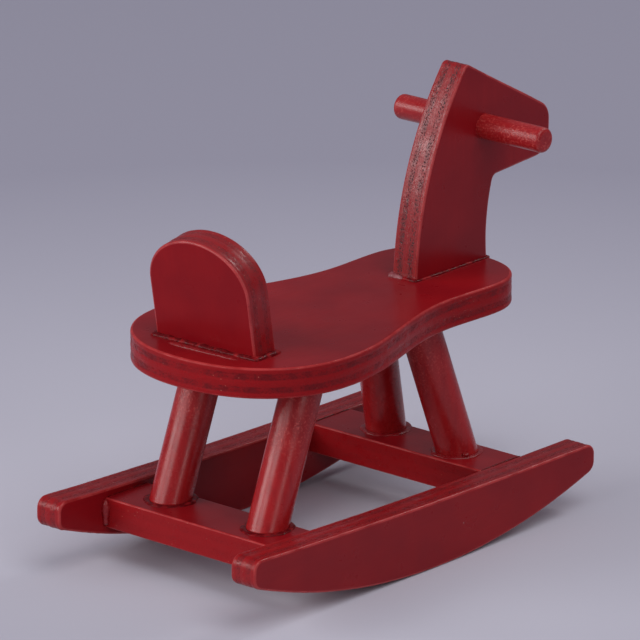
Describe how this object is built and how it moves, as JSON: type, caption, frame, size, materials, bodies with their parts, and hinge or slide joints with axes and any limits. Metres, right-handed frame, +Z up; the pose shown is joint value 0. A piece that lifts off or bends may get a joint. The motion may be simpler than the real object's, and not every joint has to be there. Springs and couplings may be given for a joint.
{
  "type": "miniature rocking horse seat",
  "caption": "Dolls house rocking horse seat: waisted plywood seat on dowel legs and curved rockers, with a rounded backrest, a horse head board and a dowel handle.",
  "frame": {"origin": "on the floor under the middle of the whole object's box, from the rear tips of the rockers to the horse's nose", "axes": "+X is forward, towards the horse's nose; +Y is the horse's left; +Z is up from the floor"},
  "size_m": [0.1148, 0.0558, 0.0868],
  "materials": {
    "rockers": "dark red satin lacquer over plywood",
    "cross_boards": "dark red satin lacquer over plywood",
    "legs": "dark red satin lacquer over turned dowel",
    "seat": "dark red satin lacquer over plywood",
    "backrest": "dark red satin lacquer over plywood",
    "head": "dark red satin lacquer over plywood",
    "handle": "dark red satin lacquer over turned dowel",
    "glue": "set glue under red lacquer, glossy"
  },
  "bodies": {
    "root": {"rocker_left": "rockers", "rocker_right": "rockers", "front_cross_board": "cross_boards", "rear_cross_board": "cross_boards", "front_left_leg": "legs", "front_right_leg": "legs", "rear_left_leg": "legs", "rear_right_leg": "legs", "seat_board": "seat", "backrest": "backrest", "head_board": "head", "handle_dowel": "handle", "backrest_glue": "glue", "head_board_glue": "glue", "leg_glue": "glue"}
  },
  "joints": []
}
